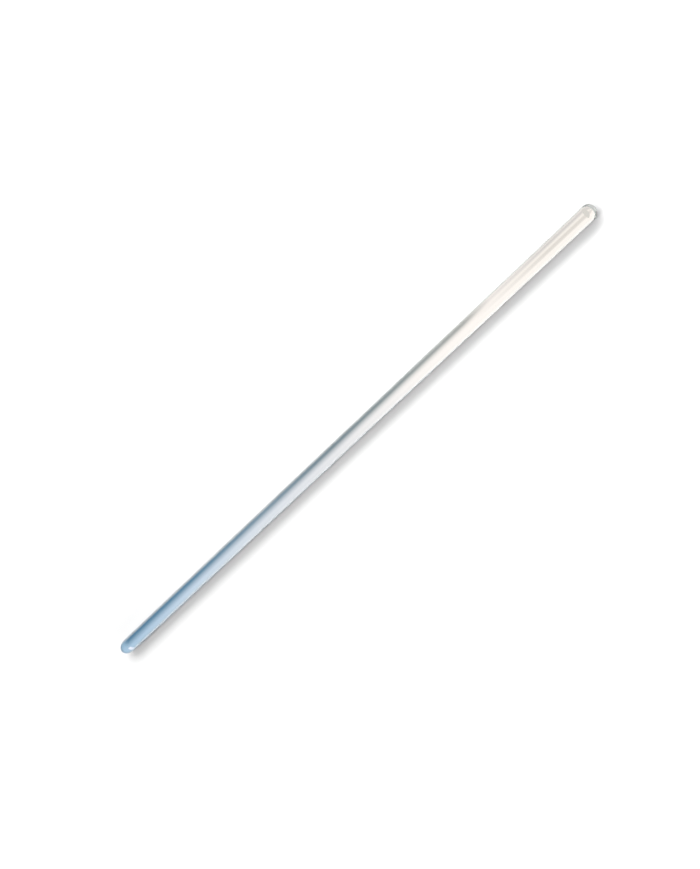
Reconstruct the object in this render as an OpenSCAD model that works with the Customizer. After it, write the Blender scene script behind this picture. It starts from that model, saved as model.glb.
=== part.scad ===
// Glass stirring rod: one drawn rod of solid glass whose two cut ends were melted round in a flame.
// The rod lies along X, with the middle of its length at the origin. Sizes are in millimetres.

/* [Rod] */
// Diameter of the drawn rod
rod_d = 6; // [2:0.5:16]
// Length from tip to tip
rod_l = 300; // [100:5:600]

/* [Rounded ends] */
// How far the end at -X stands out from the straight shank, more than the rod's radius if drawn out
long_end_h = 4.8; // [1:0.1:12]
// How far the end at +X stands out from the straight shank
short_end_h = 2.8; // [1:0.1:12]
// How far the flat middle of the end at +X reaches from the axis, less than the rod's radius
short_face_r = 1; // [0:0.1:7]

/* [Hidden] */
// Facets of a full circle
$fn = 120;
rod_r = rod_d / 2;
// The part of the length that is a true cylinder
shank_l = rod_l - long_end_h - short_end_h;

// Half of an end's outline: X is the distance from the axis, and Y runs from the foot to the tip.
// Surface tension pulls a melted rim round, so the outline is a quarter of an ellipse, which leaves
// the shank without a corner. It reaches the axis where the end melted right through, and stops at
// face_r where the middle of the cut face stayed flat.
module end_outline(height, face_r) {
    if (face_r > 0) square([face_r, height]);
    intersection() {
        translate([face_r, 0]) scale([rod_r - face_r, height]) circle(1);
        square([rod_d, 2 * height]);
    }
}

// Half of the rod's outline, with Y along its length and the middle of the length at 0
module rod_outline() {
    translate([0, long_end_h - rod_l / 2]) {
        square([rod_r, shank_l]);
        translate([0, shank_l]) end_outline(short_end_h, short_face_r);
        mirror([0, 1]) end_outline(long_end_h, 0);
    }
}

module rod() {
    color([0.74, 0.87, 0.93, 0.6])
        rotate([0, 90, 0])
            rotate_extrude()
                rod_outline();
}

rod();
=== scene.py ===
# %% [markdown]
# # A glass stirring rod
# The real object is one length of solid glass rod, 6 mm thick and 300 mm long, whose two cut ends
# were melted round in a flame. It is a simple shape with a difficult look: clear glass shows
# nothing of its own, only what it bends and mirrors. So half of this lesson is about what lies
# under the rod and around it, and the other half is the shape that bends that in the right way.

# %% Start from the frame
import math

import bmesh
import bpy
from mathutils import Matrix, Vector


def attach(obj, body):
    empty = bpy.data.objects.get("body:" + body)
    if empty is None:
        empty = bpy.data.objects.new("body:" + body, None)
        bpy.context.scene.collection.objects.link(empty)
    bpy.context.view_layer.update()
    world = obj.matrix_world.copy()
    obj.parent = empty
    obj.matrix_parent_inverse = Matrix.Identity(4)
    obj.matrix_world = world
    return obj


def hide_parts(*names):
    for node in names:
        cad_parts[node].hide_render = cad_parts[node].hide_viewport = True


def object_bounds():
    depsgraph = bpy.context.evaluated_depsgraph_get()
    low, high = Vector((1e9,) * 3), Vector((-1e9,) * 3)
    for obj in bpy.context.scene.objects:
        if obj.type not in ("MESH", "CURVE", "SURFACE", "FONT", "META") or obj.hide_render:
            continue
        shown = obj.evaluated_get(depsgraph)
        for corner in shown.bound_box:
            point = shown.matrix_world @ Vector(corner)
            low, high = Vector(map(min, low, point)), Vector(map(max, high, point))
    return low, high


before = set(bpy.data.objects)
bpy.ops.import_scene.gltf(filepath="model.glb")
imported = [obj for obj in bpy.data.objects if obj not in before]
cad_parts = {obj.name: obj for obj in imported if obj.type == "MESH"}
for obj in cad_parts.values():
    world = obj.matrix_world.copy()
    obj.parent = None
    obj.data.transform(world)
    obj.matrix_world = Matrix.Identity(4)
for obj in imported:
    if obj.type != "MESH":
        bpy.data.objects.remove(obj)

MM = 0.001
cad_low, cad_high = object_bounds()
rod_radius = (cad_high.z - cad_low.z) / 2
half_length = (cad_high.x - cad_low.x) / 2
print(f"the rod is {2 * half_length / MM:.1f} mm long and {2 * rod_radius / MM:.2f} mm thick")

# %% [markdown]
# ## The camera
# The rod is seen from above and from beyond its +X end, so that end is the near one and looks
# thicker. A camera can be placed by hand and turned until the view fits, or from the few numbers
# that describe the view. Numbers are used here: how steeply the camera looks down, how far it is
# from the point it aims at, and how much it is rolled, which is what lays the rod on a diagonal.
# From those come three directions, to the right, upwards and backwards, which are the columns of
# the camera's matrix. Its lens and sensor are in millimetres, as on a real camera.

# %% Place the camera from its angle, distance and roll
look_down = math.radians(55.8)
camera_roll = math.radians(43.284)
camera_distance = 723.7 * MM
aim_along_rod = 12.92 * MM
aim_beside_rod = 0.764 * MM
sensor_width = 36
lens_length = 78.62

along_rod = Vector((1, 0, 0))
straight_down = Vector((0, 0, -1))
view_line = -math.cos(look_down) * along_rod + math.sin(look_down) * straight_down
rod_in_picture = math.sin(look_down) * along_rod + math.cos(look_down) * straight_down
across_in_picture = view_line.cross(rod_in_picture)
camera_right = math.cos(camera_roll) * rod_in_picture + math.sin(camera_roll) * across_in_picture
camera_up = math.sin(camera_roll) * rod_in_picture - math.cos(camera_roll) * across_in_picture
camera_place = (aim_along_rod * along_rod - aim_beside_rod * across_in_picture
                - camera_distance * view_line)

bpy.ops.object.select_all(action="DESELECT")
bpy.ops.object.camera_add()
camera = bpy.context.object
camera.name = "camera"
camera.matrix_world = Matrix((
    (camera_right.x, camera_up.x, -view_line.x, camera_place.x),
    (camera_right.y, camera_up.y, -view_line.y, camera_place.y),
    (camera_right.z, camera_up.z, -view_line.z, camera_place.z),
    (0, 0, 0, 1)))
camera.data.sensor_width = sensor_width
camera.data.lens = lens_length
bpy.context.scene.camera = camera
bpy.context.scene.view_settings.view_transform = "Standard"
print("the camera is at", [round(v, 3) for v in camera_place])

# %% [markdown]
# ## Colours and nodes
# A colour is written as it looks on a screen, in sRGB hex, and Blender computes with light, which
# is linear, so one function turns one into the other. A second small function adds a node with its
# settings and its links, which keeps each material short enough to read, and a third empties the
# node tree that Blender gives every new material, so that nothing is left over from it.

# %% Colours, nodes and empty trees
def linear_colour(hex_colour):
    """An sRGB hex colour as linear red, green, blue and an alpha of 1."""
    shares = [int(hex_colour[i:i + 2], 16) / 255 for i in (0, 2, 4)]
    return tuple(s / 12.92 if s <= 0.04045 else ((s + 0.055) / 1.055) ** 2.4 for s in shares) + (1,)


def add_node(tree, kind, settings=None, inputs=None):
    """Adds a node. Settings are its own values; inputs are values or links for its sockets."""
    node = tree.nodes.new(kind)
    for name, value in (settings or {}).items():
        setattr(node, name, value)
    for name, value in (inputs or {}).items():
        if isinstance(value, bpy.types.NodeSocket):
            tree.links.new(value, node.inputs[name])
        else:
            node.inputs[name].default_value = value
    return node


def empty_tree(owner):
    """The node tree of a material or a world, with nothing in it."""
    owner.use_nodes = True
    owner.node_tree.nodes.clear()
    return owner.node_tree


print("white is", linear_colour("FFFFFF"), "and middle grey is",
      round(linear_colour("808080")[0], 3))

# %% [markdown]
# ## The table
# The table is matt white card, large enough to fill the view. The card lies 2.3 mm below the rod,
# as it does where glassware is shown on a clear sheet laid over the card; the sheet itself
# would show nothing, so only the gap is built. The gap matters: a round rod is a strong lens, and
# on the bare card it would show no more than a hair's breadth of it. The card is a diffuse white
# with the least trace of light of its own.

# %% A sheet of card
sheet_gap = 2.3 * MM
table_size = 6
bpy.ops.object.select_all(action="DESELECT")
bpy.ops.mesh.primitive_plane_add(size=table_size, location=(0, 0, cad_low.z - sheet_gap))
card = bpy.context.object
card.name = "white_card"
print("the card lies", round(sheet_gap / MM, 2), "mm under the rod")

# %% [markdown]
# Out of reach of the lamps a real card would be swept up into a white backdrop. Here the card
# turns white for the camera alone, with Light Path's Is Camera Ray, and Map Range makes that
# whiteness grow with the distance from the rod.

# %% Matt white, and white far off
card_glow = 0.01
backdrop_starts, backdrop_full = 0.2, 0.8

# Matt white card: bleached paper board, pressed smooth but not coated. It spreads light evenly and
# has no shine, so a plain diffuse shader is all it takes.
card_paint = bpy.data.materials.new("matt_white_card")
tree = empty_tree(card_paint)
card_matt = add_node(tree, "ShaderNodeBsdfDiffuse", inputs={"Color": linear_colour("F2F2F2")})
ray = add_node(tree, "ShaderNodeLightPath")
seen = add_node(tree, "ShaderNodeMath", {"operation": "MAXIMUM"},
                {0: ray.outputs["Is Camera Ray"], 1: ray.outputs["Is Transmission Ray"]})
seen = add_node(tree, "ShaderNodeMath", {"operation": "MAXIMUM"},
                {0: seen.outputs[0], 1: ray.outputs["Is Glossy Ray"]})
place = add_node(tree, "ShaderNodeTexCoord")
from_rod = add_node(tree, "ShaderNodeVectorMath", {"operation": "LENGTH"},
                    {0: place.outputs["Object"]})
far_off = add_node(tree, "ShaderNodeMapRange", inputs={
    "Value": from_rod.outputs["Value"], "From Min": backdrop_starts, "From Max": backdrop_full})
backdrop = add_node(tree, "ShaderNodeMath", {"operation": "MULTIPLY"},
                    {0: ray.outputs["Is Camera Ray"], 1: far_off.outputs["Result"]})
glow = add_node(tree, "ShaderNodeMath", {"operation": "MULTIPLY_ADD"},
                {0: seen.outputs[0], 1: card_glow, 2: backdrop.outputs[0]})
card_light = add_node(tree, "ShaderNodeEmission", inputs={"Strength": glow.outputs[0]})
card_white = add_node(tree, "ShaderNodeAddShader", inputs={
    0: card_matt.outputs["BSDF"], 1: card_light.outputs["Emission"]})
add_node(tree, "ShaderNodeOutputMaterial", inputs={"Surface": card_white.outputs["Shader"]})
card.data.materials.append(card_paint)
print("the card is white from", backdrop_full, "m outwards")

# %% [markdown]
# ## A film that gives the glass its look
# Clear glass on white has no outline. In a studio it is given one with a dark or coloured strip
# that hides behind the glass and shows only where the glass bends the view onto it. A film that
# glows, though it is no lamp, is used here, laid on the card exactly under the rod, where the
# camera never sees it directly. Its colours are painted light and shade. It is white in its middle,
# painted light for the card lit through the rod; blue grey along one side, painted shade for the
# rod's shadow seen through the glass, which the rod shows as its dark upper edge; and bluer towards
# the far end, painted light for a blue surround. A lamp seen through the rod could do some of this,
# but small bright lamps seen through glass need very many samples, and a film that only gives light
# is free of that grain.

# %% Cutting, laying and lighting film
film_lift = 0.02 * MM


def lay_film(name, low_x, high_x, low_y, high_y, lift, film_material, turned=0):
    """Lays a film on the card, sized in millimetres and turned about its middle in degrees."""
    middle = ((low_x + high_x) / 2 * MM, (low_y + high_y) / 2 * MM, cad_low.z - sheet_gap + lift)
    bpy.ops.object.select_all(action="DESELECT")
    bpy.ops.mesh.primitive_plane_add(size=1, location=middle)
    film = bpy.context.object
    film.name = name
    bpy.ops.transform.resize(value=((high_x - low_x) * MM, (high_y - low_y) * MM, 1))
    film.rotation_euler.z = math.radians(turned)
    bpy.ops.object.transform_apply(location=True, rotation=True, scale=True)
    film.data.materials.append(film_material)
    print(f"{name}: {high_x - low_x:.1f} by {high_y - low_y:.1f} mm")


def finish_film(tree, colour, strength):
    """Ends a film's material: its colour, given off by the film itself as painted light."""
    light = add_node(tree, "ShaderNodeEmission", inputs={"Color": colour, "Strength": strength})
    add_node(tree, "ShaderNodeOutputMaterial", inputs={"Surface": light.outputs["Emission"]})


print("film lies", round(film_lift / MM, 2), "mm above the card")

# %% [markdown]
# The long film has soft bands of painted light and shade along it and across it. They are laid
# out in millimetres on Object coordinates, so they keep their places wherever the film goes. A
# Color
# Ramp holds the stops of each band, and Mix nodes lay one band over another.

# %% Bands of colour
def place_along(tree, axis):
    """Where a point of the object lies along its own X or Y, in metres."""
    place = add_node(tree, "ShaderNodeTexCoord")
    split = add_node(tree, "ShaderNodeSeparateXYZ", inputs={"Vector": place.outputs["Object"]})
    return split.outputs[axis]


def colours_at(tree, place, stops):
    """A colour that changes with a place: stops are pairs of millimetres and a hex colour."""
    low, high = stops[0][0], stops[-1][0]
    share = add_node(tree, "ShaderNodeMapRange", inputs={
        "Value": place, "From Min": low * MM, "From Max": high * MM})
    ramp = add_node(tree, "ShaderNodeValToRGB", inputs={"Fac": share.outputs["Result"]})
    marks = ramp.color_ramp.elements
    marks.remove(marks[1])
    for number, (stop, hex_colour) in enumerate(stops):
        position = (stop - low) / (high - low)
        mark = marks[0] if number == 0 else marks.new(position)
        mark.position = position
        mark.color = linear_colour(hex_colour)
    return ramp.outputs["Color"]


print("a stop at 100 lies", 100 * MM, "m along the film")

# %% The printed film under the whole rod
# Glowing film, no lamp, in soft bands of painted light and shade: it gives an even light of its own
# and no shine. Stops are in millimetres, along the rod for the middle and the edge colours, and
# across it for the fine grey lines near the +X end. The middle is painted light, the card lit
# through the rod, bluer towards -X; the edge is painted shade, the rod's shadow seen through the
# glass, turning white near +X as a painted reflection; the lines are a painted reflection of strip
# lamps, a bright line and a dim one.
MIDDLE_PAINTED_LIGHT = [(-150, "BBD1E2"), (-100, "CFDCEA"), (-50, "E1E5EB"), (0, "E9EAEC"), (50, "F9F7F5"),
          (84, "FDFAF7"), (140, "FEFDFC")]
EDGE = [(-150, "E0EAEE"), (-149, "D6E2E8"), (-147, "6A98AE"), (-100, "5F90A7"), (-45, "869FAD"),
        (-10, "768D98"), (30, "839296"), (80, "A6ABAB"), (95, "F2F1F0")]
LINES_PAINTED_REFLECTION = [(-2.2, "F0F0F0"), (-0.75, "DDDDDD"), (-0.3, "FCFCFA"), (-0.06, "DFDDD9"),
         (0.1, "E0DEDA"), (0.3, "FDFDFB")]
film_low, film_high, film_half_width = -150, 145.5, 2.9
far_place, near_place = -110 * MM, 82 * MM
edge_ends_far, edge_ends_near = -1.37 * MM, -1.05 * MM
white_starts_far, white_starts_near = 0.78 * MM, 0.13 * MM
lines_start, lines_full = 85 * MM, 125 * MM
film_strength = 1.09

film_painted_light = bpy.data.materials.new("painted_light_and_shade")
tree = empty_tree(film_painted_light)
along, across = place_along(tree, "X"), place_along(tree, "Y")
edge_ends = add_node(tree, "ShaderNodeMapRange", inputs={
    "Value": along, "From Min": far_place, "From Max": near_place, "To Min": edge_ends_far,
    "To Max": edge_ends_near})
white_starts = add_node(tree, "ShaderNodeMapRange", inputs={
    "Value": along, "From Min": far_place, "From Max": near_place, "To Min": white_starts_far,
    "To Max": white_starts_near})
white_share = add_node(tree, "ShaderNodeMapRange", {"interpolation_type": "SMOOTHSTEP"}, {
    "Value": across, "From Min": edge_ends.outputs["Result"],
    "From Max": white_starts.outputs["Result"]})
# The blue-grey edge band is painted shade: the rod's shadow seen through the glass.
with_painted_shade = add_node(tree, "ShaderNodeMix", {"data_type": "RGBA"}, {
    0: white_share.outputs["Result"], 6: colours_at(tree, along, EDGE),
    7: linear_colour("FFFFFF")})
# The fine grey lines near +X are a painted reflection of strip lamps.
lines_share = add_node(tree, "ShaderNodeMapRange", inputs={
    "Value": along, "From Min": lines_start, "From Max": lines_full})
with_painted_lines = add_node(tree, "ShaderNodeMix", {"data_type": "RGBA", "blend_type": "MULTIPLY"}, {
    0: lines_share.outputs["Result"], 6: with_painted_shade.outputs[2], 7: colours_at(tree, across, LINES_PAINTED_REFLECTION)})
painted_colour = add_node(tree, "ShaderNodeMix", {"data_type": "RGBA", "blend_type": "MULTIPLY"}, {
    0: 1.0, 6: with_painted_lines.outputs[2], 7: colours_at(tree, along, MIDDLE_PAINTED_LIGHT)})
finish_film(tree, painted_colour.outputs[2], film_strength)
# This film glows with painted light and shade; it is no lamp.
lay_film("painted_light_film", film_low, film_high, -film_half_width, film_half_width, film_lift,
         film_painted_light)

# %% [markdown]
# The far crown of the rod carries one soft bright stroke, and the near one a grey patch. The stroke
# is a painted highlight, a spot of bright light that the strongly bent end shows; the patch is
# painted shade, the shade under the near tip seen through its crown. They are two more small pieces
# of glowing film, laid on the first where each crown looks.

# %% A painted highlight and a painted shade
# name, colour, strength, then in millimetres where it starts and ends along the rod and across it,
# and how far it is turned, in degrees
SMALL_FILMS = [
    # painted highlight: a bright spot seen through the far crown
    ("painted_highlight", "FFF8FF", 1.18, -148.8, -147.6, 0.5, 2.9, 5),
    # painted shade: the shade under the near tip, seen through its crown
    ("painted_shade_end", "DDDDD9", 1.0, 144.1, 145.7, -2.8, 1.0, -12),
]
for name, colour, strength, low_x, high_x, low_y, high_y, turned in SMALL_FILMS:
    # Glowing film, one even tone: painted light for the highlight on the far crown, and a dimmer
    # painted light that stands for the shade under the near end.
    small_film = bpy.data.materials.new(name + "_film")
    finish_film(empty_tree(small_film), linear_colour(colour), strength)
    lay_film(name, low_x, high_x, low_y, high_y, 2 * film_lift, small_film, turned)

# %% [markdown]
# ## The room
# The world stands for the room round the table. Where the camera sees it directly it is white, as
# a backdrop is. The card gets its light from the lamps alone, which keeps the shadow clear, and
# what the glass mirrors is a dimmer room, because walls beside a lit table are darker than it is.
# Through the glass it is as white as it is beside the glass. A ray that has passed through glass
# counts as a mirrored one too, so the two are sorted out one after the other.

# %% A white room that the lamps outshine
room_mirrored = 0.16
room_through_glass = 1.0
room = bpy.data.worlds.new("room")
bpy.context.scene.world = room
tree = empty_tree(room)
light_path = add_node(tree, "ShaderNodeLightPath")
bounced = add_node(tree, "ShaderNodeMath", {"operation": "MINIMUM"},
                   {0: light_path.outputs["Diffuse Depth"], 1: 1.0})
mirrored = add_node(tree, "ShaderNodeMix", {"data_type": "FLOAT"},
                    {"Factor": light_path.outputs["Is Glossy Ray"], "A": 0.0, "B": room_mirrored})
through = add_node(tree, "ShaderNodeMix", {"data_type": "FLOAT"},
                   {"Factor": bounced.outputs[0], "A": room_through_glass, "B": 0.0})
glass_or_not = add_node(tree, "ShaderNodeMix", {"data_type": "FLOAT"},
                        {"Factor": light_path.outputs["Is Transmission Ray"],
                         "A": mirrored.outputs["Result"], "B": through.outputs["Result"]})
seen_or_not = add_node(tree, "ShaderNodeMix", {"data_type": "FLOAT"},
                       {"Factor": light_path.outputs["Is Camera Ray"],
                        "A": glass_or_not.outputs["Result"], "B": 1.0})
background = add_node(tree, "ShaderNodeBackground", inputs={
    "Color": linear_colour("FFFFFF"), "Strength": seen_or_not.outputs["Result"]})
add_node(tree, "ShaderNodeOutputWorld", inputs={"Surface": background.outputs["Background"]})
print("the room is 1 to the camera,", room_mirrored, "mirrored and", room_through_glass,
      "through glass")

# %% [markdown]
# ## The lamps
# Softboxes hang over the table in line with the rod, a metre or two away. The two keys stand on
# the +Y side and draw the shadow on the other side; a lamp overhead and a fill opposite keep that
# shadow pale and soft. Each is given by the angles at which the rod sees it, because the angle and
# the spread of a lamp are what make a shadow long or soft. Cycles can show lamps in glass as
# bright spots; these are hidden there, because the film already gives the glass all it shows.

# %% Long softboxes in line with the rod
# name, distance in metres, lean from overhead towards +Y and spread across the rod, both in
# degrees, where it starts and ends along the rod in metres, and its radiance
LAMPS = [
    ("near_key", 1.0, 37, 29, -0.08, 0.70, 6.1),
    ("far_key", 2.0, 34.5, 28, 1.1, 2.75, 8.2),
    ("top", 1.0, 2, 22, -0.42, 0.60, 4.6),
    ("fill", 1.0, -56, 23, 0.0, 0.90, 3.8),
]
for name, distance, lean, spread, low_x, high_x, radiance in LAMPS:
    angle = math.radians(lean)
    bpy.ops.object.select_all(action="DESELECT")
    bpy.ops.object.light_add(
        type="AREA", rotation=(-angle, 0, 0),
        location=((low_x + high_x) / 2, distance * math.sin(angle), distance * math.cos(angle)))
    lamp = bpy.context.object
    lamp.name = name
    lamp.data.shape = "RECTANGLE"
    lamp.data.size = high_x - low_x
    lamp.data.size_y = 2 * distance * math.tan(math.radians(spread / 2))
    lamp.data.energy = radiance * math.pi * lamp.data.size * lamp.data.size_y
    lamp.visible_camera = False
    lamp.visible_glossy = False
    lamp.visible_transmission = False
    print(f"{name}: {lamp.data.size:.2f} by {lamp.data.size_y:.2f} m, {lamp.data.energy:.1f} W")

# %% [markdown]
# ## The shank of the rod
# Glass rod is drawn from the melt and runs true, so between its ends it is one plain cylinder. It
# starts here as a cylinder without caps, cut into rings along its length, because glass shows
# every flat face and long thin triangles shade badly. A circle spun out of an outline would do as
# well; a cylinder with open ends leaves the edges that the crowns are drawn from.

# %% A cylinder with open ends
steps_round = 128
shank_rings = 60
long_end = 4.8 * MM
short_end = 2.8 * MM
shank_low = -half_length + long_end
shank_high = half_length - short_end
bpy.ops.object.select_all(action="DESELECT")
bpy.ops.mesh.primitive_cylinder_add(
    vertices=steps_round, radius=rod_radius, depth=shank_high - shank_low, end_fill_type="NOTHING",
    location=((shank_low + shank_high) / 2, 0, 0), rotation=(0, math.pi / 2, 0))
rod = bpy.context.object
rod.name = "glass_rod"
bpy.ops.object.transform_apply(location=True, rotation=True, scale=True)
bpy.ops.object.mode_set(mode="EDIT")
bpy.ops.mesh.select_mode(type="EDGE")
bpy.ops.mesh.select_all(action="DESELECT")
mesh = bmesh.from_edit_mesh(rod.data)
for edge in mesh.edges:
    edge.select_set(abs(edge.verts[0].co.x - edge.verts[1].co.x) > rod_radius)
bmesh.update_edit_mesh(rod.data)
bpy.ops.mesh.subdivide(number_cuts=shank_rings - 1)
bpy.ops.object.mode_set(mode="OBJECT")
print("the shank has", len(rod.data.polygons), "faces")

# %% [markdown]
# ## The fire-polished ends
# The ends were cut square and held in a flame until surface tension pulled the melted rim round.
# The one at -X was held longer and became a full, drawn-out crown; the one at +X kept a small flat
# in its middle. A half sphere would be the quick way, but both crowns have their own depth, so the
# open edge is extruded ring by ring up a quarter of an ellipse, and each ring is made smaller.

# %% Draw out the crowns
end_steps = 20
flat_radius = 1.0 * MM
near_enough = 0.001 * MM
pinhole_share = 0.01


def select_ring(x):
    """Selects the rod's vertices that lie at this place along it, and nothing else."""
    bpy.ops.mesh.select_mode(type="VERT")
    bpy.ops.mesh.select_all(action="DESELECT")
    mesh = bmesh.from_edit_mesh(bpy.context.object.data)
    for vertex in mesh.verts:
        vertex.select_set(abs(vertex.co.x - x) < near_enough)
    mesh.select_flush_mode()
    bmesh.update_edit_mesh(bpy.context.object.data)


def draw_out_crown(foot, height, flat):
    """Draws an open end out to a crown: rings up a quarter of an ellipse, then its middle.

    A full crown's last ring is a pinhole, because a ring of no size can't be drawn. Merging the
    last ring at its centre closes either crown.
    """
    select_ring(foot)
    direction = 1 if foot > 0 else -1
    last_x, last_r = 0.0, rod_radius
    for step in range(1, end_steps + 1):
        turn = math.pi / 2 * step / end_steps
        x = height * math.sin(turn)
        r = flat + (rod_radius - flat) * math.cos(turn)
        if step == end_steps and flat == 0:
            r = last_r * pinhole_share
        bpy.ops.mesh.extrude_edges_move(
            TRANSFORM_OT_translate={"value": (direction * (x - last_x), 0, 0)})
        bpy.ops.transform.resize(value=(1, r / last_r, r / last_r),
                                 center_override=(foot + direction * x, 0, 0))
        last_x, last_r = x, r
    if flat > 0:
        bpy.ops.mesh.extrude_edges_move()
    bpy.ops.mesh.merge(type="CENTER")


bpy.ops.object.mode_set(mode="EDIT")
draw_out_crown(shank_high, short_end, flat_radius)
draw_out_crown(shank_low, long_end, 0)
bpy.ops.mesh.select_all(action="SELECT")
bpy.ops.mesh.remove_doubles(threshold=near_enough)
bpy.ops.mesh.normals_make_consistent(inside=False)
bpy.ops.object.mode_set(mode="OBJECT")
bpy.ops.object.shade_smooth()
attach(rod, "root")
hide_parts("rod")
print("the rod has", len(rod.data.polygons), "faces")

# %% [markdown]
# ## The glass
# Stirring rod is soda-lime or borosilicate glass with a perfectly smooth, fire-polished skin, so
# its roughness is 0 and its index of refraction 1.5. Its skin is tinted along its length, and the
# blue towards -X is painted light: a blue surround seen through clear glass. Three small things
# keep it from looking too perfect. Its rim, where the glass turns away from the eye, is darkened
# with painted shade, a dark blue that stands for the shadow under the rod seen through the glass
# and for the dark line along its edge; Layer Weight's Facing finds the rim. Iron in the melt gives
# the whole body a faint greenish grey, as a volume. And drawing leaves long, shallow ripples on
# the skin, far too low to feel, which a bump makes: noise stretched along the rod.

# %% The colour of the glass and its rim
# Stops are in millimetres along the rod: the tint of the whole skin, whose blue towards -X is
# painted light, a blue surround seen through clear glass; then the painted shade that the rim adds.
TINTS_WITH_PAINTED_BLUE = [(-150, "E3EFF7"), (-90, "F1F7FA"), (0, "FAFAFB"), (60, "FEFCFA"), (150, "FCF8F4")]
RIM_PAINTED_SHADE = [(-150, "1E5272"), (0, "3C5A68"), (60, "6A7A82"), (90, "B2B4B2"), (150, "B4B6B4")]
rim_starts, rim_full = 0.4, 0.82

# Clear glass, drawn from the melt as a solid rod, which leaves its skin fire-polished: it gives a
# sharp view through and small hard reflections. Its colour carries painted light, blue towards -X,
# and painted shade at its rim.
glass = bpy.data.materials.new("drawn_glass")
tree = empty_tree(glass)
facing = add_node(tree, "ShaderNodeLayerWeight", inputs={"Blend": 0.5})
rim_shade_share = add_node(tree, "ShaderNodeMapRange", {"interpolation_type": "SMOOTHSTEP"}, {
    "Value": facing.outputs["Facing"], "From Min": rim_starts, "From Max": rim_full})
along = place_along(tree, "X")
# The rim's colour is painted shade: it darkens the edges as the shadow under the rod, seen through
# the glass, would.
rim_shaded = add_node(tree, "ShaderNodeMix", {"data_type": "RGBA", "blend_type": "MULTIPLY"}, {
    0: rim_shade_share.outputs["Result"], 6: colours_at(tree, along, TINTS_WITH_PAINTED_BLUE),
    7: colours_at(tree, along, RIM_PAINTED_SHADE)})
print("the rim's tint is full where facing is", rim_full)

# %% The ripples, the body and the finished glass
body_colour = "A6A899"
body_density = 2.0
ripple_length, ripple_width, ripple_height = 25 * MM, 1.5 * MM, 0.006 * MM
place = add_node(tree, "ShaderNodeTexCoord")
stretched = add_node(tree, "ShaderNodeMapping", inputs={
    "Vector": place.outputs["Object"],
    "Scale": (1 / ripple_length, 1 / ripple_width, 1 / ripple_width)})
ripples = add_node(tree, "ShaderNodeTexNoise", inputs={
    "Vector": stretched.outputs["Vector"], "Scale": 1.0, "Detail": 1.0})
rippled = add_node(tree, "ShaderNodeBump", inputs={
    "Height": ripples.outputs["Fac"], "Strength": 1.0, "Distance": ripple_height})
clear = add_node(tree, "ShaderNodeBsdfPrincipled", inputs={
    "Base Color": rim_shaded.outputs[2], "Transmission Weight": 1.0, "Roughness": 0.0, "IOR": 1.5,
    "Normal": rippled.outputs["Normal"]})
iron_tint = add_node(tree, "ShaderNodeVolumeAbsorption", inputs={
    "Color": linear_colour(body_colour), "Density": body_density})
add_node(tree, "ShaderNodeOutputMaterial", inputs={
    "Surface": clear.outputs["BSDF"], "Volume": iron_tint.outputs["Volume"]})
rod.data.materials.append(glass)
print("the glass has", len(tree.nodes), "nodes")

# %% [markdown]
# ## Light inside the rod
# Light that enters one tip is led along the rod, as in a light guide: it meets the skin dozens of
# times before it comes out of the other tip. With the usual limit of a dozen bounces such a ray
# stops in the middle and leaves a black patch on the tip, so the limit is raised.

# %% Enough bounces for a light guide
bounce_limit = 128
for kind in ("max_bounces", "transmission_bounces", "glossy_bounces"):
    setattr(bpy.context.scene.cycles, kind, bounce_limit)
print("a ray may bounce", bounce_limit, "times")
